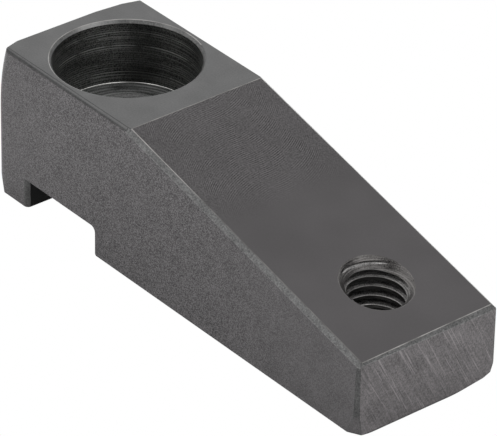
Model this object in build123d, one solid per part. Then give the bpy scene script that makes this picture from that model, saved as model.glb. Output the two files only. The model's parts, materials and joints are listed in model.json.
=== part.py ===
from build123d import *
import math
import os

# Strap clamp: one piece of black-oxidised steel, cut from square bar.
# A tall heel carries a counterbored screw hole and stands on a narrow foot.
# A cross groove parts the foot from the long flat sole, and the back slopes down to a low nose.
# An upright tapped hole goes through the slope near the nose. Its countersink is square to
# the slope, so it is deeper on the side that faces the heel.
#
# Millimetres. X runs along the bar from the heel to the nose, Y across it, Z up.
# The origin is the middle of the bar's length and width, in the plane of the foot and the sole.

# Bar
bar_length = 66.65
bar_width = 20.0
heel_height = 20.0

# Height of the slope where it meets the plane of the nose's end
nose_height = 9.75

# Lengths along the bar, from the heel's end: to the bend of the back, to the axis of the
# screw hole, and to the groove
heel_length = 25.4
screw_setback = 12.35
foot_length = 5.95

# Cross groove under the heel
groove_width = 13.2
groove_depth = 3.85
groove_corner_radius = 0.75
step_lip_radius = 0.4
foot_corner_radius = 0.6

# The heel's end is ground over towards the top
crown_start = 11.5
crown_setback = 1.35
heel_edge_radius = 1.3

# Screw hole
counterbore_diameter = 17.65
counterbore_depth = 8.4
counterbore_chamfer = 0.35
screw_hole_diameter = 11.65
screw_hole_chamfer = 0.3

# Tapped hole, M8: the tap drill, the mouth of its countersink, and the distance along the bar
# from the nose's end to its axis
tap_drill_diameter = 6.8
countersink_diameter = 8.7
tapped_hole_setback = 9.05

# Chamfers along the bar
top_edge_chamfer = 0.42
slope_edge_chamfer = 0.52
sole_edge_chamfer = 0.1

# Edges of the nose: the bevel along its top widens from the near side to the far side,
# and the bevel up its near corner widens from the top down to the sole
nose_top_bevel_near = 0.23
nose_top_bevel_far = 0.44
nose_corner_bevel_top = 0.47
nose_corner_bevel_sole = 0.89
nose_corner_bevel_share = 0.25
nose_far_chamfer = 0.2
nose_sole_radius = 0.3

# Corners dressed off by hand. Each cut is given by what it takes along the bar, across it
# and in height.
#
# Far top corner of the heel, in a shallow cut and a deep one
heel_corner_height = 4.4
heel_shallow_along = 0.6
heel_shallow_across = 6.3
heel_deep_along = 1.12
heel_deep_across = 3.83

# Near top corner of the heel, in one cut
heel_near_along = 0.61
heel_near_across = 2.16
heel_near_height = 1.26

# Near lower corner of the heel, in one cut
heel_foot_along = 1.39
heel_foot_across = 1.26
heel_foot_height = 5.67

# Far lower corner of the nose, in three cuts that start from one point of the sole's edge: a
# shallow one under the end, a middle one, and a steep one up the side
far_corner_along = 3.15
far_shallow_across = 6.82
far_shallow_height = 0.81
far_middle_across = 3.25
far_middle_height = 1.23
far_steep_across = 0.9
far_steep_height = 2.7

# Near lower corner of the nose, in two cuts: a steep one up the corner, a low one under it
near_corner_along = 2.0
near_steep_across = 0.63
near_steep_height = 4.25
near_low_across = 2.62
near_low_height = 0.42

# Places that follow from those sizes
half_width = bar_width / 2
heel_end = -bar_length / 2
nose_end = bar_length / 2
bend = heel_end + heel_length
screw_x = heel_end + screw_setback
tapped_x = nose_end - tapped_hole_setback
groove_back = heel_end + foot_length
groove_front = groove_back + groove_width
heel_top_edge = heel_end + crown_setback
slope_fall = heel_height - nose_height
slope_run = nose_end - bend
slope_angle = math.atan2(slope_fall, slope_run)
slope_normal = Vector(math.sin(slope_angle), 0, math.cos(slope_angle))

# How far each cutter runs past the surface it cuts, and how near counts as the same place
cutter_run_out = bar_width
same_place = 0.01


def slope_z(x):
    """Height of the slope at a place along the bar."""
    return heel_height - (x - bend) * slope_fall / slope_run


def side_profile():
    """Outline of the clamp seen from the side, with the groove and the crown of the heel."""
    crown_foot = (heel_end, crown_start)
    crown_top = (heel_top_edge, heel_height)
    crown = TangentArc(crown_foot, crown_top, tangent=(0, 1))
    back_and_sole = Polyline(
        crown_top,
        (bend, heel_height),
        (nose_end, nose_height),
        (nose_end, 0),
        (groove_front, 0),
    )
    step_top = groove_depth - groove_corner_radius
    ceiling_end = groove_front - groove_corner_radius
    step = Line((groove_front, 0), (groove_front, step_top))
    step_corner = TangentArc((groove_front, step_top), (ceiling_end, groove_depth), tangent=(0, 1))
    groove_and_foot = Polyline(
        (ceiling_end, groove_depth),
        (groove_back, groove_depth),
        (groove_back, 0),
        (heel_end, 0),
        crown_foot,
    )
    outline = crown + back_and_sole + step + step_corner + groove_and_foot
    return Plane.XZ * make_face(outline.edges())


def edges_along(body, x, y, z):
    """Edges whose middle lies at the given place; None leaves that coordinate free."""
    def matches(edge):
        middle = edge.center()
        wanted = ((middle.X, x), (middle.Y, y), (middle.Z, z))
        return all(value is None or abs(found - value) < same_place for found, value in wanted)
    return body.edges().filter_by(matches)


def rounded_heel(body):
    """Round the heel's end along both sides and along the foot."""
    upright = edges_along(body, heel_end, None, crown_start / 2)
    foot = edges_along(body, heel_end, 0, 0)
    crown = body.edges().filter_by(GeomType.CIRCLE).filter_by(lambda edge: edge.center().X < heel_top_edge)
    return body.fillet(heel_edge_radius, upright + crown + foot)


def trimmed(body, a, b, c):
    """Cut the body with the plane through three points and keep the side of its centre."""
    a, b, c = Vector(a), Vector(b), Vector(c)
    cut = Plane(origin=a, z_dir=(b - a).cross(c - a))
    centre_is_above = cut.to_local_coords(body.center()).Z > 0
    return split(body, bisect_by=cut, keep=Keep.TOP if centre_is_above else Keep.BOTTOM)


def edge_chamfered(body, start, end, normal, size):
    """Chamfer a long edge of the bar's side: normal points out of the other face it belongs to."""
    start, end = Vector(start), Vector(end)
    inward = Vector(0, -math.copysign(size, start.Y), 0)
    drop = Vector(normal) * size
    return trimmed(body, start - drop, end - drop, start + inward)


def chamfered_along_bar(body):
    """Chamfer the long edges of the heel's top, of the slope and of the sole, on both sides."""
    sole_middle = (groove_front + nose_end) / 2
    body = body.chamfer(sole_edge_chamfer, None, edges_along(body, sole_middle, None, 0))
    for side in (-half_width, half_width):
        back_corner = (heel_top_edge, side, heel_height)
        bend_corner = (bend, side, heel_height)
        nose_corner = (nose_end, side, nose_height)
        body = edge_chamfered(body, back_corner, bend_corner, (0, 0, 1), top_edge_chamfer)
        body = edge_chamfered(body, bend_corner, nose_corner, slope_normal, slope_edge_chamfer)
    return body


def rounded_groove(body):
    """Round the foot's inner corners and the lip of the step."""
    foot_corners = edges_along(body, groove_back, None, groove_depth / 2)
    body = body.fillet(foot_corner_radius, foot_corners)
    return body.fillet(step_lip_radius, edges_along(body, groove_front, 0, 0))


def bevelled_nose(body):
    """Round the lower edge of the nose, and bevel its top edge and its upright edges."""
    body = body.fillet(nose_sole_radius, edges_along(body, nose_end, 0, 0))
    near_inner = nose_end - nose_top_bevel_near
    far_inner = nose_end - nose_top_bevel_far
    body = trimmed(
        body,
        (near_inner, -half_width, slope_z(near_inner)),
        (far_inner, half_width, slope_z(far_inner)),
        (nose_end, -half_width, nose_height - nose_top_bevel_near),
    )
    body = trimmed(
        body,
        (nose_end - nose_corner_bevel_top, -half_width, nose_height),
        (nose_end - nose_corner_bevel_sole, -half_width, 0),
        (nose_end, -half_width + nose_corner_bevel_share * nose_corner_bevel_top, nose_height),
    )
    return trimmed(
        body,
        (nose_end - nose_far_chamfer, half_width, 0),
        (nose_end - nose_far_chamfer, half_width, nose_height),
        (nose_end, half_width - nose_far_chamfer, 0),
    )


def corner_dressed(body, corner, along, across, height):
    """Cut one corner off, by a signed length from it along X, Y and Z."""
    corner = Vector(corner)
    along_bar = corner + Vector(along, 0, 0)
    across_bar = corner + Vector(0, across, 0)
    upright = corner + Vector(0, 0, height)
    return trimmed(body, along_bar, across_bar, upright)


def dressed_corners(body):
    """Dress three corners of the heel and the two lower corners of the nose."""
    heel_far = (heel_top_edge, half_width, heel_height)
    heel_near = (heel_top_edge, -half_width, heel_height)
    heel_foot = (heel_end, -half_width, 0)
    far_corner = (nose_end, half_width, 0)
    near_corner = (nose_end, -half_width, 0)
    body = corner_dressed(body, heel_far, heel_shallow_along, -heel_shallow_across, -heel_corner_height)
    body = corner_dressed(body, heel_far, heel_deep_along, -heel_deep_across, -heel_corner_height)
    body = corner_dressed(body, heel_near, heel_near_along, heel_near_across, -heel_near_height)
    body = corner_dressed(body, heel_foot, heel_foot_along, heel_foot_across, heel_foot_height)
    body = corner_dressed(body, far_corner, -far_corner_along, -far_shallow_across, far_shallow_height)
    body = corner_dressed(body, far_corner, -far_corner_along, -far_middle_across, far_middle_height)
    body = corner_dressed(body, far_corner, -far_corner_along, -far_steep_across, far_steep_height)
    body = corner_dressed(body, near_corner, -near_corner_along, near_steep_across, near_steep_height)
    return corner_dressed(body, near_corner, -near_corner_along, near_low_across, near_low_height)


def turned(half_section):
    """Solid of revolution about Z, from points given as radius and height."""
    outline = Polyline(*half_section, close=True)
    return revolve(Plane.XZ * make_face(outline), axis=Axis.Z)


def screw_hole():
    """Cutter for the counterbore and for the hole from its seat down through the groove."""
    bore = counterbore_diameter / 2
    hole = screw_hole_diameter / 2
    seat = heel_height - counterbore_depth
    mouth_start = heel_height - counterbore_chamfer
    cutter = turned([
        (0, -cutter_run_out),
        (hole, -cutter_run_out),
        (hole, seat - screw_hole_chamfer),
        (hole + screw_hole_chamfer, seat),
        (bore, seat),
        (bore, mouth_start),
        (bore + counterbore_chamfer + cutter_run_out, heel_height + cutter_run_out),
        (0, heel_height + cutter_run_out),
    ])
    return Pos(screw_x, 0, 0) * cutter


def tapped_hole():
    """Cutter for the upright tapped hole, with its countersink square to the slope."""
    drill = tap_drill_diameter / 2
    mouth = countersink_diameter / 2
    hole = turned([
        (0, -cutter_run_out),
        (drill, -cutter_run_out),
        (drill, heel_height + cutter_run_out),
        (0, heel_height + cutter_run_out),
    ])
    countersink = turned([(0, -mouth), (mouth + cutter_run_out, cutter_run_out), (0, cutter_run_out)])
    mouth_plane = Plane(origin=(tapped_x, 0, slope_z(tapped_x)), z_dir=slope_normal)
    return Pos(tapped_x, 0, 0) * hole + mouth_plane * countersink


def clamp_strap():
    """The whole clamp: the bar's outline, its rounded and bevelled edges, then the two holes."""
    body = extrude(side_profile(), amount=half_width, both=True)
    body = rounded_heel(body)
    body = chamfered_along_bar(body)
    body = rounded_groove(body)
    body = bevelled_nose(body)
    body = dressed_corners(body)
    return body - screw_hole() - tapped_hole()


os.makedirs("parts", exist_ok=True)
export_step(clamp_strap(), "parts/clamp_strap.step")
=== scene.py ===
import json
import math

import bmesh
import bpy
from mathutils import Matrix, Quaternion, Vector


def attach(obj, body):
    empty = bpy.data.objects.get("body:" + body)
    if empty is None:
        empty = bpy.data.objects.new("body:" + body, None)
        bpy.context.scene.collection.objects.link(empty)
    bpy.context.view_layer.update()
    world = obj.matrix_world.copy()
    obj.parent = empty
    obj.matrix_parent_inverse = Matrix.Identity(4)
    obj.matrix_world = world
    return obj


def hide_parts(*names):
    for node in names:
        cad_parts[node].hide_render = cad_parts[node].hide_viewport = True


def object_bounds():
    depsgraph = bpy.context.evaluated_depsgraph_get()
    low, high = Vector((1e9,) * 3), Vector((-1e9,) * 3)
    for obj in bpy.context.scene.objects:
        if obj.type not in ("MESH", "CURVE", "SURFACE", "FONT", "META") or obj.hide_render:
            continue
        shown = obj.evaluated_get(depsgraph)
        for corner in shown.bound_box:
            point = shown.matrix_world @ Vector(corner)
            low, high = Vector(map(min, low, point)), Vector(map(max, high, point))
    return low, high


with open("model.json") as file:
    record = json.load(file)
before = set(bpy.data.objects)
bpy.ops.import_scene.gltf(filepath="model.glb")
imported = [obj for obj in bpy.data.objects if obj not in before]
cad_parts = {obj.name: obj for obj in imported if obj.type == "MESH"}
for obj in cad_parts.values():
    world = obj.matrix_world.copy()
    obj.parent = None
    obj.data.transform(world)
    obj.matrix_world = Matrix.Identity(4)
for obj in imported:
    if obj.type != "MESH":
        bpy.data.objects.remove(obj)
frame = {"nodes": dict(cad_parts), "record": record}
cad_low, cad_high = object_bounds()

# Strap clamp in black-oxidised steel, in metres, in the imported part's own frame:
# X along the bar from the heel to the nose, Y across it, Z up.
#
# The clamp is one piece of steel, so it is one piece here: a copy of the imported solid with
# its arrises broken and its thread cut. Each of its faces has the finish of the tool that
# made it, and some of the finishes also carry painted light and shade.

MM = 0.001
mounts = {mount["name"]: mount for mount in frame["record"]["mounts"]}

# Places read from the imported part
heel_end = cad_low.x
nose_end = cad_high.x
heel_top = cad_high.z
half_width = cad_high.y
screw_x = mounts["screw_hole"]["pos_m"][0]
counterbore_radius = mounts["counterbore"]["dims"]["r_mm"] * MM
tapped_x = mounts["tapped_hole"]["pos_m"][0]
drill_radius = mounts["tapped_hole"]["dims"]["r_mm"] * MM
groove_box = frame["record"]["physics"]["openings"][0]["box_m"]

# Places and sizes that repeat the part's source. The back bends down from the heel's flat top at
# the bend, and runs straight down to the nose's height.
groove_ceiling = 3.85 * MM
countersink_radius = 4.35 * MM
bend = -7.925 * MM
nose_height = 9.75 * MM
slope_angle = math.atan2(heel_top - nose_height, nose_end - bend)
slope_normal = Vector((math.sin(slope_angle), 0, math.cos(slope_angle)))
mouth_height = heel_top - (tapped_x - bend) * math.tan(slope_angle)

# Thread M8: pitch, major radius, flat at the root, and half the angle between its flanks
thread_pitch = 1.25 * MM
thread_major_radius = 4 * MM
thread_root_flat = thread_pitch / 8
thread_half_angle = math.radians(30)

# The crest that the photograph shows first lies this far below the mouth's middle, on the side
# of the hole that faces away from the camera
first_crest_depth = 1.62 * MM
first_crest_turn = math.radians(140)

# An arris is broken by this much on each of its two faces. Surfaces that meet at less than
# the least turn run smoothly into each other and have no arris.
arris_width = 0.06 * MM
least_turn = math.radians(5)

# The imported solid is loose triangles. Corners this near each other are one, triangles that turn
# by less than this are one flat face, and a shorter edge than this is only their leftover.
one_corner = 0.002 * MM
flat_turn = math.radians(0.2)
shortest_edge = 0.02 * MM


def photo_camera():
    """Camera at the photograph's angle and distance, which were fitted to the bar's own edges."""
    azimuth, elevation, roll = math.radians(50.498), math.radians(31.902), math.radians(1.0835)
    distance = 518.73 * MM
    aim = Vector((0.655, 0.887, 8.399)) * MM
    focal_length = 327.55
    back = Vector((
        math.sin(azimuth) * math.cos(elevation),
        -math.cos(azimuth) * math.cos(elevation),
        math.sin(elevation),
    ))
    lens = bpy.data.cameras.new("photo_camera")
    lens.lens = focal_length
    camera = bpy.data.objects.new("photo_camera", lens)
    camera.location = aim + back * distance
    camera.rotation_mode = "QUATERNION"
    camera.rotation_quaternion = (-back).to_track_quat("-Z", "Y") @ Quaternion((0, 0, 1), roll)
    bpy.context.scene.collection.objects.link(camera)
    bpy.context.scene.camera = camera


# Colours and nodes


def linear(hex_colour):
    """Linear colour from an sRGB hex value."""
    parts = [int(hex_colour[k:k + 2], 16) / 255 for k in (1, 3, 5)]
    return (*[p / 12.92 if p <= 0.04045 else ((p + 0.055) / 1.055) ** 2.4 for p in parts], 1)


def add(tree, kind, inputs=(), **settings):
    """Node with its settings. Its inputs, by name or number or in order, get values or links, and
    a node that is linked gives its first output."""
    node = tree.nodes.new(kind)
    for name, value in settings.items():
        setattr(node, name, value)
    for name, value in inputs.items() if isinstance(inputs, dict) else enumerate(inputs):
        if isinstance(value, bpy.types.Node):
            value = value.outputs[0]
        if isinstance(value, bpy.types.NodeSocket):
            tree.links.new(value, node.inputs[name])
        else:
            node.inputs[name].default_value = value
    return node


# Finishes, with all their sizes in millimetres. The oxide's crystals are a few thousandths
# across, the drawn skin's pits a few hundredths and a tool's feed lines about a tenth apart. All
# are too fine to show, so they are drawn as coarse as these values.
oxide_grain = 0.2
turned_grain = 0.14
drawn_pits = 0.12
deep_pits = 0.17
feed_spacing = 0.3

# The oxide's clouds and worn places are about this far across, as the photograph shows them
small_clouds = 1.6
clouds_across = 2.5
broad_clouds = 3.0

# A Map Range node's inputs are its value, the two ends of a range and what it gives at each of
# them, which is 0 and 1 where only the ends are stated.


def new_finish(name):
    """Empty material, with the place on the clamp in millimetres."""
    steel = bpy.data.materials.new(name)
    steel.use_nodes = True
    tree = steel.node_tree
    tree.nodes.clear()
    coordinates = add(tree, "ShaderNodeTexCoord")
    place = add(
        tree, "ShaderNodeMapping",
        {"Vector": coordinates.outputs["Object"], "Scale": (1 / MM, 1 / MM, 1 / MM)},
    )
    return steel, tree, place


def layered(tree, layers, middle=0.5):
    """Weighted sum of patterns, which is the middle value where each of them is at 0.5. A weight
    may be a pattern as well."""
    total = middle
    for pattern, weight in layers:
        change = add(tree, "ShaderNodeMath", (pattern, 0.5), operation="SUBTRACT")
        total = add(tree, "ShaderNodeMath", (change, weight, total), operation="MULTIPLY_ADD")
    return total


def turned_lines(tree, place, centre_x, spacing, length, pitch=0.0):
    """Feed lines of a tool that turns about an upright axis, and the longer streaks in them."""
    centred = add(tree, "ShaderNodeMapping", {"Vector": place, "Location": (-centre_x / MM, 0, 0)})
    x, y, height = add(tree, "ShaderNodeSeparateXYZ", (centred,)).outputs
    y_square = add(tree, "ShaderNodeMath", (y, y), operation="MULTIPLY")
    square = add(tree, "ShaderNodeMath", (x, x, y_square), operation="MULTIPLY_ADD")
    radius = add(tree, "ShaderNodeMath", (square, 0.5), operation="POWER")
    if pitch:
        # The lines follow the helix, with their seam on the nose's side, which the photograph hides
        back_x = add(tree, "ShaderNodeMath", (x, -1.0), operation="MULTIPLY")
        back_y = add(tree, "ShaderNodeMath", (y, -1.0), operation="MULTIPLY")
        turn = add(tree, "ShaderNodeMath", (back_y, back_x), operation="ARCTAN2")
        height = add(
            tree, "ShaderNodeMath", (turn, -pitch / MM / math.tau, height), operation="MULTIPLY_ADD"
        )
    # The radius counts by half, so that a flat seat and a cone have rings as a wall has
    feed = add(tree, "ShaderNodeMath", (radius, 0.5, height), operation="MULTIPLY_ADD")
    phase = add(tree, "ShaderNodeMath", (feed, math.tau / spacing), operation="MULTIPLY")
    wave = add(tree, "ShaderNodeMath", (phase,), operation="SINE")
    drawn_out = add(tree, "ShaderNodeMath", (feed, length / spacing / 2), operation="MULTIPLY")
    stretched = add(tree, "ShaderNodeCombineXYZ", (x, y, drawn_out))
    streaks = add(
        tree, "ShaderNodeTexNoise",
        {"Vector": stretched, "Scale": 2 / length, "Detail": 2.0, "Roughness": 0.6},
    )
    depth = add(tree, "ShaderNodeMapRange", (streaks, 0.35, 0.65), interpolation_type="SMOOTHSTEP")
    lines = add(tree, "ShaderNodeMath", (wave, depth), operation="MULTIPLY")
    return add(tree, "ShaderNodeMath", (lines, 0.5, 0.5), operation="MULTIPLY_ADD"), streaks


def painted_light_round_rim(tree, place, tone, centre, radius, tilt, spots):
    """Painted highlight where a spot adds to the tone and painted shade where it takes from it,
    round some spots on a hole's rim. Each spot is its turn in degrees, its reach and how much it
    adds to the tone."""
    for turn, reach, lightening in spots:
        flat_outward = Vector((math.cos(math.radians(turn)), math.sin(math.radians(turn)), 0))
        spot = (centre + Quaternion((0, 1, 0), tilt) @ flat_outward * radius) / MM
        away = add(tree, "ShaderNodeVectorMath", (place, spot), operation="DISTANCE").outputs["Value"]
        near = add(tree, "ShaderNodeMapRange", (away, reach, 0.0), interpolation_type="SMOOTHSTEP")
        tone = add(tree, "ShaderNodeMath", (near, lightening, tone), operation="MULTIPLY_ADD")
    return tone


def oxide_finish(steel, tree, tone, dark, light, roughness, relief, relief_mm):
    """Finish the material: tone runs from the dark to the light oxide, relief is its bump."""
    # The colours of a Mix node are its inputs 6 and 7 and its output 2
    shades = add(
        tree, "ShaderNodeMix", {"Factor": tone, 6: linear(dark), 7: linear(light)},
        data_type="RGBA", clamp_factor=True,
    )
    dull, clear = roughness
    gloss = add(tree, "ShaderNodeMapRange", {"Value": tone, "To Min": dull, "To Max": clear})
    bump = add(tree, "ShaderNodeBump", {"Distance": relief_mm * MM, "Height": relief})
    shader = add(
        tree, "ShaderNodeBsdfPrincipled",
        {"Base Color": shades.outputs[2], "Metallic": 1.0, "Roughness": gloss, "Normal": bump},
    )
    add(tree, "ShaderNodeOutputMaterial", (shader,))
    return steel


def bar_side_steel():
    """Cold-drawn bar under black oxide: the drawn skin's pits make a dull mottle, with light specks
    in patches."""
    steel, tree, place = new_finish("cold_drawn_bar_black_oxide_steel")
    pits = add(tree, "ShaderNodeTexNoise", {"Vector": place, "Scale": 1 / drawn_pits, "Detail": 1.0})
    along, _, _ = add(tree, "ShaderNodeSeparateXYZ", (place,)).outputs
    # The pits are strongest in the middle of the bar, and fade to the nose's and the heel's ends
    nose_fade = (28.0, 2.0, 0.4, 1.0)
    heel_fade = (-33.0, -20.0, 0.7, 1.0)
    to_nose = add(tree, "ShaderNodeMapRange", (along, *nose_fade), interpolation_type="SMOOTHSTEP")
    to_heel = add(tree, "ShaderNodeMapRange", (along, *heel_fade), interpolation_type="SMOOTHSTEP")
    rough_part = add(tree, "ShaderNodeMath", (to_nose, to_heel), operation="MULTIPLY")
    mottle = layered(tree, [(pits, rough_part)])
    spots = add(tree, "ShaderNodeTexNoise", {"Vector": place, "Scale": 1 / deep_pits, "Detail": 1.0})
    deep_spots = add(tree, "ShaderNodeMapRange", (spots, 0.6, 0.72), interpolation_type="SMOOTHSTEP")
    patch_width = 5.0
    areas = add(tree, "ShaderNodeTexNoise", {"Vector": place, "Scale": 1 / patch_width, "Detail": 1.0})
    spotted_areas = add(tree, "ShaderNodeMapRange", (areas, 0.35, 0.7), interpolation_type="SMOOTHSTEP")
    in_areas = add(tree, "ShaderNodeMath", (deep_spots, spotted_areas), operation="MULTIPLY")
    speckle = add(tree, "ShaderNodeMath", (in_areas, rough_part), operation="MULTIPLY")
    clouds = add(tree, "ShaderNodeTexNoise", {"Vector": place, "Scale": 1 / clouds_across, "Detail": 2.0})
    tone = layered(tree, [(mottle, 2.3), (clouds, 0.2)])
    tone = add(tree, "ShaderNodeMath", (speckle, 0.35, tone), operation="MULTIPLY_ADD")
    return oxide_finish(steel, tree, tone, "#131213", "#5a5859", (0.55, 0.45), pits, 0.004)


def milled_top_steel():
    """Face-milled top under black oxide: smooth, with slight clouds and hardly any tool marks."""
    steel, tree, place = new_finish("face_milled_top_black_oxide_steel")
    fine = add(tree, "ShaderNodeTexNoise", {"Vector": place, "Scale": 1 / oxide_grain, "Detail": 1.0})
    clouds = add(tree, "ShaderNodeTexNoise", {"Vector": place, "Scale": 1 / broad_clouds, "Detail": 2.0})
    tone = layered(tree, [(fine, 0.45), (clouds, 0.35)])
    return oxide_finish(steel, tree, tone, "#262626", "#505050", (0.42, 0.36), fine, 0.001)


def milled_slope_steel():
    """Face-milled slope under black oxide: the cutter's edges have left crossing arcs near the bend."""
    steel, tree, place = new_finish("face_milled_slope_black_oxide_steel")
    # The photograph shows the arcs' radius and spacing. They are whole up to one place on the
    # slope, and have run out at another.
    cutter_radius = 11.86
    arc_spacing = 0.273
    whole_to, run_out = 3.5, 10.5
    x, y, _ = add(tree, "ShaderNodeSeparateXYZ", (place,)).outputs
    y_square = add(tree, "ShaderNodeMath", (y, y), operation="MULTIPLY")
    chord_square = add(tree, "ShaderNodeMath", (cutter_radius ** 2, y_square), operation="SUBTRACT")
    chord = add(tree, "ShaderNodeMath", (chord_square, 0.5), operation="POWER")
    rise = add(tree, "ShaderNodeMath", (chord, cutter_radius), operation="SUBTRACT")
    near_bend = add(tree, "ShaderNodeMapRange", (x, run_out, whole_to), interpolation_type="SMOOTHSTEP")
    arcs = 0.5
    # The cutter's leading and trailing edges bend their arcs opposite ways, each on its own side
    for direction, seed, middle, reach in ((1.0, 3.0, -4.5, 6.5), (-1.0, 11.0, 3.5, 8.0)):
        across = add(tree, "ShaderNodeMath", (rise, direction, x), operation="MULTIPLY_ADD")
        phase = add(tree, "ShaderNodeMath", (across, math.tau / arc_spacing), operation="MULTIPLY")
        wave = add(tree, "ShaderNodeMath", (phase,), operation="SINE")
        moved = add(tree, "ShaderNodeMapping", {"Vector": place, "Location": (seed, seed, seed)})
        areas = add(tree, "ShaderNodeTexNoise", {"Vector": moved, "Scale": 1 / small_clouds, "Detail": 2.0})
        cut_areas = add(tree, "ShaderNodeMapRange", (areas, 0.36, 0.66), interpolation_type="SMOOTHSTEP")
        offset = add(tree, "ShaderNodeMath", (y, middle), operation="SUBTRACT")
        from_middle = add(tree, "ShaderNodeMath", (offset,), operation="ABSOLUTE")
        beside = add(
            tree, "ShaderNodeMapRange", (from_middle, reach, reach / 4), interpolation_type="SMOOTHSTEP"
        )
        cut_beside = add(tree, "ShaderNodeMath", (cut_areas, beside), operation="MULTIPLY")
        strength = add(tree, "ShaderNodeMath", (cut_beside, near_bend), operation="MULTIPLY")
        lines = add(tree, "ShaderNodeMath", (wave, strength), operation="MULTIPLY")
        arcs = add(tree, "ShaderNodeMath", (lines, 0.5, arcs), operation="MULTIPLY_ADD")
    fine = add(tree, "ShaderNodeTexNoise", {"Vector": place, "Scale": 1 / oxide_grain, "Detail": 1.0})
    speckle = layered(tree, [(fine, near_bend)])
    cloud_width = 6.0
    clouds = add(tree, "ShaderNodeTexNoise", {"Vector": place, "Scale": 1 / cloud_width, "Detail": 1.0})
    tone = layered(tree, [(arcs, 0.7), (speckle, 0.9), (fine, 0.1), (clouds, 0.2)])
    # The oxide is a little thinner towards the nose
    to_nose = add(tree, "ShaderNodeMapRange", (x, 4.0, 30.0), interpolation_type="SMOOTHSTEP")
    tone = add(tree, "ShaderNodeMath", (to_nose, 0.06, tone), operation="MULTIPLY_ADD")
    return oxide_finish(steel, tree, tone, "#242323", "#565455", (0.42, 0.36), arcs, 0.002)


def belt_dressed_end_steel():
    """Belt-dressed end under black oxide: straight scratches that lean to the heel's far side."""
    steel, tree, place = new_finish("belt_dressed_end_black_oxide_steel")
    lean = math.radians(-28)
    # The light bands of a noise lie nearly two of its cells apart, and such cells, in spacings, set
    # them one spacing apart
    cell = 0.55
    scratches = []
    for spacing, length in ((0.315, 14.0), (0.6, 9.0), (1.13, 25.0)):
        leaning = add(
            tree, "ShaderNodeMapping", {"Vector": place, "Rotation": (-lean, 0, 0)}, vector_type="TEXTURE"
        )
        stretched = add(
            tree, "ShaderNodeMapping", {"Vector": leaning, "Scale": (0, 1 / spacing, 1 / length)}
        )
        scratches.append(add(
            tree, "ShaderNodeTexNoise",
            {"Vector": stretched, "Scale": 1 / cell, "Detail": 2.0, "Roughness": 0.6},
        ))
    fine_scratches, broad_scratches, bands = scratches
    grit = add(tree, "ShaderNodeTexNoise", {"Vector": place, "Scale": 1 / oxide_grain, "Detail": 1.0})
    clouds = add(tree, "ShaderNodeTexNoise", {"Vector": place, "Scale": 1 / broad_clouds, "Detail": 1.0})
    light_bands = add(tree, "ShaderNodeMapRange", (bands, 0.55, 0.62), interpolation_type="SMOOTHSTEP")
    deep = add(tree, "ShaderNodeMapRange", (fine_scratches, 0.5, 0.6), interpolation_type="SMOOTHSTEP")
    bright = add(tree, "ShaderNodeMath", (light_bands, deep), operation="MULTIPLY")
    tone = layered(
        tree, [(fine_scratches, 0.5), (broad_scratches, 0.4), (bands, 0.1), (grit, 0.85), (clouds, 0.3)]
    )
    tone = add(tree, "ShaderNodeMath", (bright, 0.42, tone), operation="MULTIPLY_ADD")
    return oxide_finish(steel, tree, tone, "#212121", "#636061", (0.42, 0.34), fine_scratches, 0.003)


def bored_steel():
    """Bored wall under black oxide: dark, with broken feed rings, painted light towards two sides of the
    wall, painted shade in its middle, and painted highlights on some rings.
    """
    steel, tree, place = new_finish("bored_painted_light_black_oxide_steel")
    rings, streaks = turned_lines(tree, place, screw_x, feed_spacing, length=12.0)
    x, y, height = add(tree, "ShaderNodeSeparateXYZ", (place,)).outputs
    # Painted light and shade: the wall is lighter towards the two sides of it that the photograph
    # shows, and darker in its middle. The bore's middle lies this far back along the direction that
    # is the photograph's right.
    right_x, right_y = 0.64, 0.77
    bore_back = 11.8
    painted_light_range = (0.5, 4.5, 0.25, 1.0)
    across = add(tree, "ShaderNodeMath", (y, right_y), operation="MULTIPLY")
    to_right = add(tree, "ShaderNodeMath", (x, right_x, across), operation="MULTIPLY_ADD")
    from_middle = add(tree, "ShaderNodeMath", (to_right, bore_back), operation="ADD")
    beside = add(tree, "ShaderNodeMath", (from_middle,), operation="ABSOLUTE")
    painted_light_across_wall = add(tree, "ShaderNodeMapRange", (beside, *painted_light_range), interpolation_type="SMOOTHSTEP")
    break_length = 2.6
    breaks = add(tree, "ShaderNodeTexNoise", {"Vector": place, "Scale": 1 / break_length, "Detail": 3.0})
    unbroken = add(tree, "ShaderNodeMapRange", (breaks, 0.36, 0.56), interpolation_type="SMOOTHSTEP")
    ring_highlight_weight = add(tree, "ShaderNodeMath", (painted_light_across_wall, unbroken), operation="MULTIPLY")
    grit = add(tree, "ShaderNodeTexNoise", {"Vector": place, "Scale": 1 / turned_grain, "Detail": 1.0})
    pattern = layered(tree, [(rings, 0.35), (streaks, 0.6), (grit, 1.0)], middle=0.25)
    tone = add(tree, "ShaderNodeMath", (pattern, painted_light_across_wall), operation="MULTIPLY")
    # Painted highlights on the feed rings, each with its height and strength, weighted by the
    # painted light across the wall. They fade out at the first of these distances from their
    # middle, and are whole within the second.
    ring_edge, ring_core = 0.11, 0.03
    for ring_height, strength in (
        (18.5, 0.4), (18.2, 0.35), (17.75, 0.35), (16.65, 0.8), (16.3, 0.3),
        (14.3, 0.2), (13.05, 0.5), (12.65, 0.5), (12.3, 0.3),
    ):
        rise = add(tree, "ShaderNodeMath", (height, ring_height), operation="SUBTRACT")
        away = add(tree, "ShaderNodeMath", (rise,), operation="ABSOLUTE")
        line = add(
            tree, "ShaderNodeMapRange", (away, ring_edge, ring_core, 0.0, strength),
            interpolation_type="SMOOTHSTEP",
        )
        tone = add(tree, "ShaderNodeMath", (line, ring_highlight_weight, tone), operation="MULTIPLY_ADD")
    return oxide_finish(steel, tree, tone, "#1c1d1c", "#d8d9d6", (0.4, 0.3), rings, 0.01)


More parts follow.
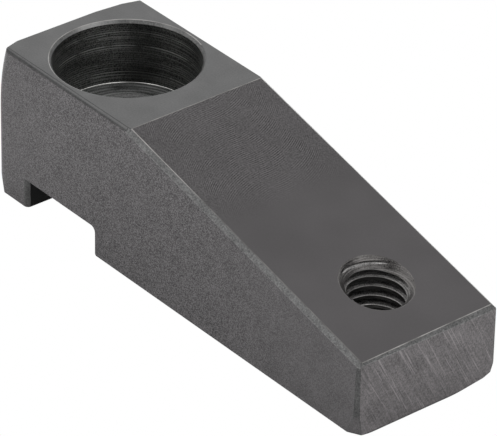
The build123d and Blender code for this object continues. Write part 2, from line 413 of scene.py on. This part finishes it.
def faced_seat_steel():
    """Seat of the screw's head, faced by the counterbore's end under black oxide: dull, fine rings."""
    steel, tree, place = new_finish("faced_seat_black_oxide_steel")
    rings, streaks = turned_lines(tree, place, screw_x, feed_spacing, length=8.0)
    grit = add(tree, "ShaderNodeTexNoise", {"Vector": place, "Scale": 1 / turned_grain, "Detail": 1.0})
    tone = layered(tree, [(rings, 0.8), (streaks, 1.8), (grit, 1.0)], middle=0.43)
    return oxide_finish(steel, tree, tone, "#3a3b3a", "#9a9b9a", (0.8, 0.65), rings, 0.008)


def mouth_chamfer_steel():
    """Chamfer of the bore's mouth, dressed by hand, with painted highlights in two places."""
    steel, tree, place = new_finish("hand_dressed_mouth_painted_highlight_black_oxide_steel")
    grit = add(tree, "ShaderNodeTexNoise", {"Vector": place, "Scale": 1 / oxide_grain, "Detail": 1.0})
    clouds = add(tree, "ShaderNodeTexNoise", {"Vector": place, "Scale": 1 / clouds_across, "Detail": 1.0})
    tone = layered(tree, [(grit, 0.5), (clouds, 0.3)], middle=0.19)
    # Two painted highlights round the rim
    spots = ((171.0, 4.0, 0.44), (106.0, 4.0, 0.2))
    centre = Vector((screw_x, 0, heel_top))
    tone = painted_light_round_rim(tree, place, tone, centre, counterbore_radius, 0.0, spots)
    return oxide_finish(steel, tree, tone, "#2c2c2c", "#8a8a89", (0.42, 0.34), grit, 0.002)


def countersunk_steel():
    """Countersink under black oxide: fine rings, painted highlights beside the slope's far edge and
    towards the bend, and painted shade between them."""
    steel, tree, place = new_finish("countersunk_painted_light_black_oxide_steel")
    rings, streaks = turned_lines(tree, place, tapped_x, feed_spacing, length=6.0)
    grit = add(tree, "ShaderNodeTexNoise", {"Vector": place, "Scale": 1 / turned_grain, "Detail": 1.0})
    clouds = add(tree, "ShaderNodeTexNoise", {"Vector": place, "Scale": 1 / small_clouds, "Detail": 1.0})
    tone = layered(tree, [(rings, 0.45), (streaks, 1.3), (grit, 1.1), (clouds, 0.6)], middle=0.54)
    # Two painted highlights and two places of painted shade round the rim
    spots = ((75.0, 2.6, 0.33), (155.0, 2.0, 0.12), (115.0, 1.6, -0.2), (195.0, 2.2, -0.35))
    centre = Vector((tapped_x, 0, mouth_height))
    above_crests = 0.5 * MM
    spot_radius = drill_radius + above_crests
    tone = painted_light_round_rim(tree, place, tone, centre, spot_radius, slope_angle, spots)
    return oxide_finish(steel, tree, tone, "#161515", "#646261", (0.42, 0.34), rings, 0.008)


def tapped_steel():
    """Flanks of the tapped thread under black oxide: torn grain along the helix, a painted highlight next
    to the crests.
    """
    steel, tree, place = new_finish("tapped_thread_painted_highlight_black_oxide_steel")
    lines, streaks = turned_lines(tree, place, tapped_x, feed_spacing, length=4.0, pitch=thread_pitch)
    torn = add(tree, "ShaderNodeTexNoise", {"Vector": place, "Scale": 1 / turned_grain, "Detail": 1.0})
    flat_place = add(
        tree, "ShaderNodeMapping", {"Vector": place, "Location": (-tapped_x / MM, 0, 0), "Scale": (1, 1, 0)}
    )
    radius = add(tree, "ShaderNodeVectorMath", (flat_place,), operation="LENGTH").outputs["Value"]
    crest = drill_radius / MM
    # Painted highlight: the flanks are lighter just outside the crests
    plain_tone_from, lightest_at = crest + 0.14, crest + 0.04
    crest_highlight = add(
        tree, "ShaderNodeMapRange", (radius, plain_tone_from, lightest_at), interpolation_type="SMOOTHSTEP"
    )
    tone = layered(tree, [(lines, 0.3), (streaks, 1.1), (torn, 1.1)], middle=0.38)
    tone = add(tree, "ShaderNodeMath", (crest_highlight, 0.28, tone), operation="MULTIPLY_ADD")
    return oxide_finish(steel, tree, tone, "#1f1f1f", "#9a9897", (0.42, 0.34), lines, 0.008)


def thread_crest_steel():
    """Flat crests of the thread, the drilled wall that the tap has left, under black oxide."""
    steel, tree, place = new_finish("drilled_crest_black_oxide_steel")
    lines, streaks = turned_lines(tree, place, tapped_x, feed_spacing, length=4.0, pitch=thread_pitch)
    tone = layered(tree, [(lines, 0.2), (streaks, 1.4)], middle=0.6)
    return oxide_finish(steel, tree, tone, "#2a2929", "#787776", (0.4, 0.3), lines, 0.004)


def shaded_groove_steel():
    """End-milled groove under black oxide, darkened with painted shade: dull and very dark, with faint
    marks along the cut.
    """
    steel, tree, place = new_finish("end_milled_groove_painted_shade_steel")
    drawn_out = 0.12
    along = add(tree, "ShaderNodeMapping", {"Vector": place, "Scale": (1.0, drawn_out, 1.0)})
    marks = add(tree, "ShaderNodeTexNoise", {"Vector": along, "Scale": 1 / feed_spacing, "Detail": 2.0})
    fine = add(tree, "ShaderNodeTexNoise", {"Vector": place, "Scale": 1 / oxide_grain, "Detail": 1.0})
    tone = layered(tree, [(marks, 0.7), (fine, 0.6)])
    return oxide_finish(steel, tree, tone, "#070707", "#151515", (0.5, 0.45), marks, 0.0003)


def ground_sole_steel():
    """Surface-ground foot and sole under black oxide: fine straight lines along the bar."""
    steel, tree, place = new_finish("ground_sole_black_oxide_steel")
    drawn_out = 0.05
    along = add(tree, "ShaderNodeMapping", {"Vector": place, "Scale": (drawn_out, 1.0, 1.0)})
    lines = add(tree, "ShaderNodeTexNoise", {"Vector": along, "Scale": 1 / oxide_grain, "Detail": 2.0})
    clouds = add(tree, "ShaderNodeTexNoise", {"Vector": place, "Scale": 1 / broad_clouds, "Detail": 1.0})
    tone = layered(tree, [(lines, 1.2), (clouds, 0.3)])
    return oxide_finish(steel, tree, tone, "#262626", "#5c5c5c", (0.4, 0.3), lines, 0.002)


def chamfer_steel(name, dark, light, roughness):
    """Milled or dressed chamfer under black oxide: even, with a fine grain and slight clouds."""
    steel, tree, place = new_finish(name)
    fine = add(tree, "ShaderNodeTexNoise", {"Vector": place, "Scale": 1 / oxide_grain, "Detail": 1.0})
    clouds = add(tree, "ShaderNodeTexNoise", {"Vector": place, "Scale": 1 / clouds_across, "Detail": 2.0})
    tone = layered(tree, [(fine, 1.3), (clouds, 0.5)])
    return oxide_finish(steel, tree, tone, dark, light, roughness, fine, 0.002)


def shaded_heel_chamfer_steel():
    """Chamfer beside the heel's top under black oxide, with painted shade: its lower part is dark, less so
    at the bend.
    """
    steel, tree, place = new_finish("painted_shade_heel_chamfer_black_oxide_steel")
    fine = add(tree, "ShaderNodeTexNoise", {"Vector": place, "Scale": 1 / oxide_grain, "Detail": 1.0})
    clouds = add(tree, "ShaderNodeTexNoise", {"Vector": place, "Scale": 1 / clouds_across, "Detail": 2.0})
    x, _, height = add(tree, "ShaderNodeSeparateXYZ", (place,)).outputs
    # The painted shade's edge runs down from the heel's end to the bend, by this much in each millimetre
    edge_fall = 0.0036
    edge_low, edge_high = 19.66, 19.8
    above_edge = add(tree, "ShaderNodeMath", (x, edge_fall, height), operation="MULTIPLY_ADD")
    upper = add(
        tree, "ShaderNodeMapRange", (above_edge, edge_low, edge_high), interpolation_type="SMOOTHSTEP"
    )
    tone = layered(tree, [(fine, 0.4), (clouds, 0.25)], middle=0.24)
    tone = add(tree, "ShaderNodeMath", (upper, 0.36, tone), operation="MULTIPLY_ADD")
    return oxide_finish(steel, tree, tone, "#252525", "#6a6a6a", (0.5, 0.42), fine, 0.002)


def arris_steel(name, dark, light):
    """Arris where handling has worn down the oxide, with a painted highlight along it, more in some places
    than in others.
    """
    steel, tree, place = new_finish(name)
    wear = add(
        tree, "ShaderNodeTexNoise",
        {"Vector": place, "Scale": 1 / clouds_across, "Detail": 3.0, "Roughness": 0.6},
    )
    tone = layered(tree, [(wear, 1.6)])
    return oxide_finish(steel, tree, tone, dark, light, (0.45, 0.32), wear, 0.001)


def slope_arris_steel():
    """Long arrises of the slope: worn and with a painted highlight beside the bend, with their oxide
    further down.
    """
    steel, tree, place = new_finish("worn_slope_arris_with_painted_highlight_black_oxide_steel")
    wear = add(
        tree, "ShaderNodeTexNoise",
        {"Vector": place, "Scale": 1 / clouds_across, "Detail": 3.0, "Roughness": 0.6},
    )
    x, _, _ = add(tree, "ShaderNodeSeparateXYZ", (place,)).outputs
    # Worn and with a painted highlight towards the bend
    plain_tone_from, lightest_at = 7.0, -1.0
    near_bend = add(
        tree, "ShaderNodeMapRange", (x, plain_tone_from, lightest_at), interpolation_type="SMOOTHSTEP"
    )
    tone = layered(tree, [(wear, 0.8), (near_bend, 0.5)])
    return oxide_finish(steel, tree, tone, "#363636", "#8c8a88", (0.45, 0.32), wear, 0.001)


def bore_corner_glint_steel():
    """Inner corner of the counterbore, with a painted glint along it."""
    steel, tree, place = new_finish("painted_glint_bore_corner_steel")
    glint_length = 4.0
    wear = add(tree, "ShaderNodeTexNoise", {"Vector": place, "Scale": 1 / glint_length, "Detail": 3.0})
    tone = layered(tree, [(wear, 2.5)], middle=0.65)
    return oxide_finish(steel, tree, tone, "#4a4a49", "#f0efec", (0.35, 0.25), wear, 0.001)


finishes = {
    "side": bar_side_steel(),
    "top": milled_top_steel(),
    "slope": milled_slope_steel(),
    "end": belt_dressed_end_steel(),
    "bored": bored_steel(),
    "seat": faced_seat_steel(),
    "mouth": mouth_chamfer_steel(),
    "countersink": countersunk_steel(),
    "thread": tapped_steel(),
    "crest": thread_crest_steel(),
    "groove": shaded_groove_steel(),
    "sole": ground_sole_steel(),
    # A lighter copy of the chamfer finish, which is a painted highlight
    "painted_highlight_chamfer": chamfer_steel(
        "painted_highlight_chamfer_black_oxide_steel", "#363636", "#6e6e6e", (0.42, 0.36)
    ),
    "nose_bevel": chamfer_steel(
        "hand_dressed_bevel_black_oxide_steel", "#2e2e2e", "#636363", (0.42, 0.36)
    ),
    # A darker copy of the chamfer finish, which is painted shade
    "painted_shade_chamfer": chamfer_steel(
        "painted_shade_chamfer_black_oxide_steel", "#222222", "#4c4c4c", (0.5, 0.42)
    ),
    # A darker copy of the heel's chamfer, which is painted shade
    "painted_shade_heel_chamfer": shaded_heel_chamfer_steel(),
    "arris": arris_steel("worn_arris_with_painted_highlight_black_oxide_steel", "#3a3a39", "#787674"),
    "well_worn_highlight_arris": arris_steel("well_worn_arris_with_painted_highlight_black_oxide_steel", "#464645", "#908e8c"),
    "slope_arris": slope_arris_steel(),
    "corner": bore_corner_glint_steel(),
}
finish_number = {name: number for number, name in enumerate(finishes)}


# Shape


def mark_surfaces(mesh, shape):
    """Number each surface of the solid, and keep the true normal at each corner of its faces."""
    surface = shape.faces.layers.int.new("surface")
    true_normal = shape.loops.layers.float_vector.new("true_normal")
    number = 0
    for start in shape.faces:
        if start[surface]:
            continue
        number += 1
        start[surface] = number
        waiting = [start]
        while waiting:
            for edge in waiting.pop().edges:
                for face in edge.link_faces:
                    if not face[surface]:
                        face[surface] = number
                        waiting.append(face)
    for face in shape.faces:
        for loop in face.loops:
            loop[true_normal] = mesh.corner_normals[loop.index].vector
    return surface, true_normal


def turn_across(edge, true_normal):
    """Greatest angle between the true normals on the two sides of an edge."""
    turns = []
    for vertex in edge.verts:
        here = [loop[true_normal] for face in edge.link_faces for loop in face.loops if loop.vert == vertex]
        turns.append(here[0].angle(here[1], 0))
    return max(turns)


def packed_solid(node):
    """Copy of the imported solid, merged, with its flat faces whole and its arrises not smooth."""
    shape = bmesh.new()
    shape.from_mesh(node.data)
    surface, true_normal = mark_surfaces(node.data, shape)
    bmesh.ops.remove_doubles(shape, verts=shape.verts, dist=one_corner)
    for edge in shape.edges:
        edge.seam = len({face[surface] for face in edge.link_faces}) > 1
        edge.smooth = not edge.seam or turn_across(edge, true_normal) < least_turn
    shape.faces.layers.int.remove(surface)
    shape.loops.layers.float_vector.remove(true_normal)
    bmesh.ops.dissolve_limit(
        shape, angle_limit=flat_turn, verts=shape.verts, edges=shape.edges, delimit={"SEAM"}
    )
    bmesh.ops.dissolve_degenerate(shape, dist=shortest_edge, edges=shape.edges)
    return shape


# A face looks in one direction where the cosine of the angle between them is more than this
facing_cosine = 0.9995


def lies_along(normal, direction):
    """Whether a face looks in one direction."""
    return normal.dot(direction) > facing_cosine


def finish_of(face):
    """Name of the finish of one face, from its place and the way it looks."""
    place, normal = face.calc_center_bounds(), face.normal
    sideways = abs(normal.y)
    near = 0.02 * MM
    # Parts of a face's normal, which is 1 long. The normal of a chamfer at 45 degrees has evenly
    # as much sideways as upwards, give or take a little.
    slightly, partly, mostly, evenly = 0.1, 0.3, 0.9, 0.7
    a_little = 0.05
    from_screw = math.hypot(place.x - screw_x, place.y)
    from_tapped = math.hypot(place.x - tapped_x, place.y)
    if lies_along(normal, Vector((0, 0, 1))) and place.z > heel_top - near:
        return "top"
    if lies_along(normal, slope_normal):
        return "slope"
    if lies_along(normal, Vector((0, 0, -1))) and place.z < near:
        return "sole"
    if lies_along(normal, Vector((1, 0, 0))) and place.x > nose_end - near:
        return "end"
    if sideways > facing_cosine and abs(place.y) > half_width - near:
        return "side"
    # The groove's faces and chamfers get painted shade
    if groove_box[0][0] - MM < place.x < groove_box[1][0] + MM and place.z < groove_ceiling + near:
        return "painted_shade_chamfer" if sideways > slightly else "groove"
    if from_screw < counterbore_radius + MM:
        if place.z > heel_top - MM:
            return "mouth"
        if normal.z > mostly:
            return "seat"
        return "mouth" if normal.z > slightly else "bored"
    if from_tapped < drill_radius + near:
        return "crest"
    if from_tapped < countersink_radius + near:
        return "countersink"
    if place.x > nose_end - 2 * MM and normal.z > partly and sideways < partly:
        return "nose_bevel"
    # The slope's chamfers get a painted highlight, and those beside the heel's top painted shade
    if abs(sideways - evenly) < a_little and place.z > nose_height / 2:
        return "painted_highlight_chamfer" if place.x > bend else "painted_shade_heel_chamfer"
    # The nose's near corner gets painted shade
    if place.x > nose_end - MM and place.y < 0 and abs(normal.z) < slightly:
        return "painted_shade_chamfer"
    return "side"


def arris_finish(place):
    """Name of the finish of one arris: the high ones are worn and carry painted highlights, and the low
    ones get painted shade.
    """
    from_screw = math.hypot(place.x - screw_x, place.y)
    from_tapped = math.hypot(place.x - tapped_x, place.y)
    # How far from an edge or a rim an arris still belongs to it
    on_edge = 0.15 * MM
    on_nose_edge = 0.25 * MM
    on_rim = 0.3 * MM
    on_mouth = 0.5 * MM
    on_chamfer = 0.7 * MM
    # The heel's dressed corners reach this far from its end, the bore's mouth is worn and has a
    # painted highlight up to this far past its middle, and under this height the nose's arrises
    # get painted shade
    corner_reach = 3 * MM
    past_middle = 3 * MM
    low_on_nose = 0.75 * nose_height
    beside_side = abs(place.y) > half_width - on_edge
    if from_tapped < drill_radius + on_rim:
        return "crest"
    if from_tapped < countersink_radius + on_rim:
        return "countersink"
    # Arrises in the groove and low on the nose get painted shade
    if place.z < groove_box[1][2] + MM or place.z < low_on_nose and place.x > bend:
        return "painted_shade_chamfer"
    if from_screw < counterbore_radius + on_mouth:
        if place.z < heel_top - MM:
            # The counterbore's inner corner gets the painted glint
            return "corner" if from_screw > counterbore_radius - MM else "seat"
        if place.z < heel_top - on_edge:
            return "mouth"
        return "well_worn_highlight_arris" if place.x < screw_x + past_middle else "top"
    if place.x < heel_end + corner_reach:
        return "side"
    if place.x > nose_end - on_nose_edge:
        return "painted_highlight_chamfer"
    if abs(place.y) < half_width - on_chamfer:
        return "arris" if place.x < 0 else "well_worn_highlight_arris"
    if place.x > bend:
        return "painted_highlight_chamfer" if beside_side else "slope_arris"
    return "side" if beside_side else "top"


def break_arrises(shape):
    """Break every arris of the solid with a narrow rounded strip."""
    sharp = [edge for edge in shape.edges if not edge.smooth]
    for face in shape.faces:
        face.material_index = finish_number[finish_of(face)]
    made = bmesh.ops.bevel(
        shape,
        geom=sharp,
        offset=arris_width,
        offset_type="OFFSET",
        affect="EDGES",
        segments=2,
        profile=0.5,
        material=-1,
        clamp_overlap=False,
    )
    for face in made["faces"]:
        face.material_index = finish_number[arris_finish(face.calc_center_bounds())]
    # Where a strip runs out in a tangent, the bevel leaves a spike that stands out of the side. It
    # goes back to its root, and the two are merged.
    spike = 0.01 * MM
    same_place = 0.0005 * MM
    for vertex in shape.verts:
        if abs(vertex.co.y) > half_width + spike:
            nearest = min(vertex.link_edges, key=lambda edge: edge.calc_length())
            vertex.co = nearest.other_vert(vertex).co
    bmesh.ops.remove_doubles(shape, verts=shape.verts, dist=same_place)
    for edge in shape.edges:
        edge.smooth = True
        edge.seam = False


def thread_cutter():
    """Helical cutter for the thread, from below the sole to above the mouth."""
    steps_per_turn = 48
    spare_turns = 3
    # The cutter also reaches this far into the open hole, clear of the crests
    into_hole = 0.25 * MM
    inner_radius = drill_radius - into_hole
    inner_half = thread_root_flat / 2 + (thread_major_radius - inner_radius) * math.tan(thread_half_angle)
    lowest = -2 * thread_pitch
    turns = math.ceil((mouth_height - lowest) / thread_pitch) + spare_turns
    # The root's middle lies half a pitch under a crest's
    crest = mouth_height - first_crest_depth - thread_pitch / 2
    start = crest - math.ceil((crest - lowest) / thread_pitch) * thread_pitch
    shape = bmesh.new()
    outward = Vector((math.cos(first_crest_turn), math.sin(first_crest_turn), 0))
    axis_foot = Vector((tapped_x, 0, start))
    corners = [
        (inner_radius, -inner_half),
        (thread_major_radius, -thread_root_flat / 2),
        (thread_major_radius, thread_root_flat / 2),
        (inner_radius, inner_half),
    ]
    profile = [
        shape.verts.new(axis_foot + outward * radius + Vector((0, 0, rise))) for radius, rise in corners
    ]
    section = shape.faces.new(profile)
    edges = list(section.edges)
    bmesh.ops.delete(shape, geom=[section], context="FACES_ONLY")
    bmesh.ops.spin(
        shape,
        geom=profile + edges,
        cent=axis_foot,
        axis=(0, 0, 1),
        dvec=(0, 0, thread_pitch / steps_per_turn),
        angle=turns * math.tau,
        steps=turns * steps_per_turn,
    )
    bmesh.ops.holes_fill(shape, edges=[edge for edge in shape.edges if edge.is_boundary], sides=4)
    bmesh.ops.recalc_face_normals(shape, faces=shape.faces)
    for face in shape.faces:
        face.material_index = finish_number["thread"]
    return shape


def piece_from(shape, name, materials):
    """Object made from a finished shape."""
    mesh = bpy.data.meshes.new(name)
    shape.to_mesh(mesh)
    shape.free()
    for material in materials:
        mesh.materials.append(material)
    piece = bpy.data.objects.new(name, mesh)
    bpy.context.scene.collection.objects.link(piece)
    return piece


def cut_thread(clamp):
    """Take the thread's helix out of the clamp, and throw the cutter away."""
    cutter = piece_from(thread_cutter(), "thread_cutter", finishes.values())
    cut = clamp.modifiers.new("thread", "BOOLEAN")
    cut.operation = "DIFFERENCE"
    cut.solver = "EXACT"
    cut.object = cutter
    bpy.context.view_layer.update()
    threaded = bpy.data.meshes.new_from_object(clamp.evaluated_get(bpy.context.evaluated_depsgraph_get()))
    clamp.modifiers.clear()
    clamp.data = threaded
    bpy.data.objects.remove(cutter)


def shade(clamp):
    """Shade the clamp smooth across its arrises and curves, and sharp along its thread."""
    # The thread's flanks turn by 60 degrees at its crests and roots, and a broken arris by less
    sharp_turn = math.radians(50)
    shape = bmesh.new()
    shape.from_mesh(clamp.data)
    for face in shape.faces:
        face.smooth = True
    for edge in shape.edges:
        if len(edge.link_faces) == 2:
            edge.smooth = edge.calc_face_angle(0) < sharp_turn
    shape.to_mesh(clamp.data)
    shape.free()
    flats = clamp.modifiers.new("flat_faces_stay_flat", "WEIGHTED_NORMAL")
    flats.keep_sharp = True


def clamp_strap():
    """The whole clamp."""
    shape = packed_solid(frame["nodes"]["clamp_strap"])
    break_arrises(shape)
    clamp = piece_from(shape, "finished_clamp", finishes.values())
    cut_thread(clamp)
    shade(clamp)
    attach(clamp, "root")
    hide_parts("clamp_strap")


# Floor and light


def floor():
    """White acrylic floor, lit from below, that the clamp stands on."""
    glow = 0.6
    half_size = 4
    below_sole = 0.01 * MM
    acrylic = bpy.data.materials.new("backlit_white_acrylic_floor")
    acrylic.use_nodes = True
    tree = acrylic.node_tree
    shader = tree.nodes["Principled BSDF"]
    shader.inputs["Base Color"].default_value = linear("#f2f2f2")
    shader.inputs["Roughness"].default_value = 0.9
    shader.inputs["Emission Color"].default_value = linear("#ffffff")
    shader.inputs["Emission Strength"].default_value = glow
    # The camera sees it just white, so that it does not glare over the clamp's outline
    white = add(tree, "ShaderNodeEmission", {"Strength": 1.0})
    camera_ray = add(tree, "ShaderNodeLightPath").outputs["Is Camera Ray"]
    seen = add(tree, "ShaderNodeMixShader", (camera_ray, shader, white))
    tree.links.new(seen.outputs["Shader"], tree.nodes["Material Output"].inputs["Surface"])
    shape = bmesh.new()
    bmesh.ops.create_grid(shape, x_segments=1, y_segments=1, size=half_size)
    bmesh.ops.translate(shape, vec=(0, 0, -below_sole), verts=shape.verts)
    piece_from(shape, "floor", [acrylic])


def soft_box(direction, distance, size, power):
    """Soft square light that lies in one direction from the heel's top."""
    lamp = bpy.data.lights.new("soft_box", "AREA")
    lamp.size = size
    lamp.energy = power
    box = bpy.data.objects.new("soft_box", lamp)
    box.location = Vector((screw_x, 0, heel_top)) + direction * distance
    box.rotation_mode = "QUATERNION"
    box.rotation_quaternion = direction.to_track_quat("Z", "Y")
    box.visible_camera = False
    bpy.context.scene.collection.objects.link(box)


def studio_light():
    """Soft white light from all round, and a soft box opposite the camera for the top's gloss."""
    tent_strength = 1.6
    world = bpy.data.worlds.new("light_tent")
    world.use_nodes = True
    tent = world.node_tree.nodes["Background"]
    tent.inputs["Color"].default_value = linear("#ffffff")
    tent.inputs["Strength"].default_value = tent_strength
    bpy.context.scene.world = world
    soft_box(direction=Vector((-0.655, 0.540, 0.528)), distance=0.6, size=0.2, power=0.16)
    bpy.context.scene.view_settings.view_transform = "Standard"


clamp_strap()
floor()
studio_light()
photo_camera()
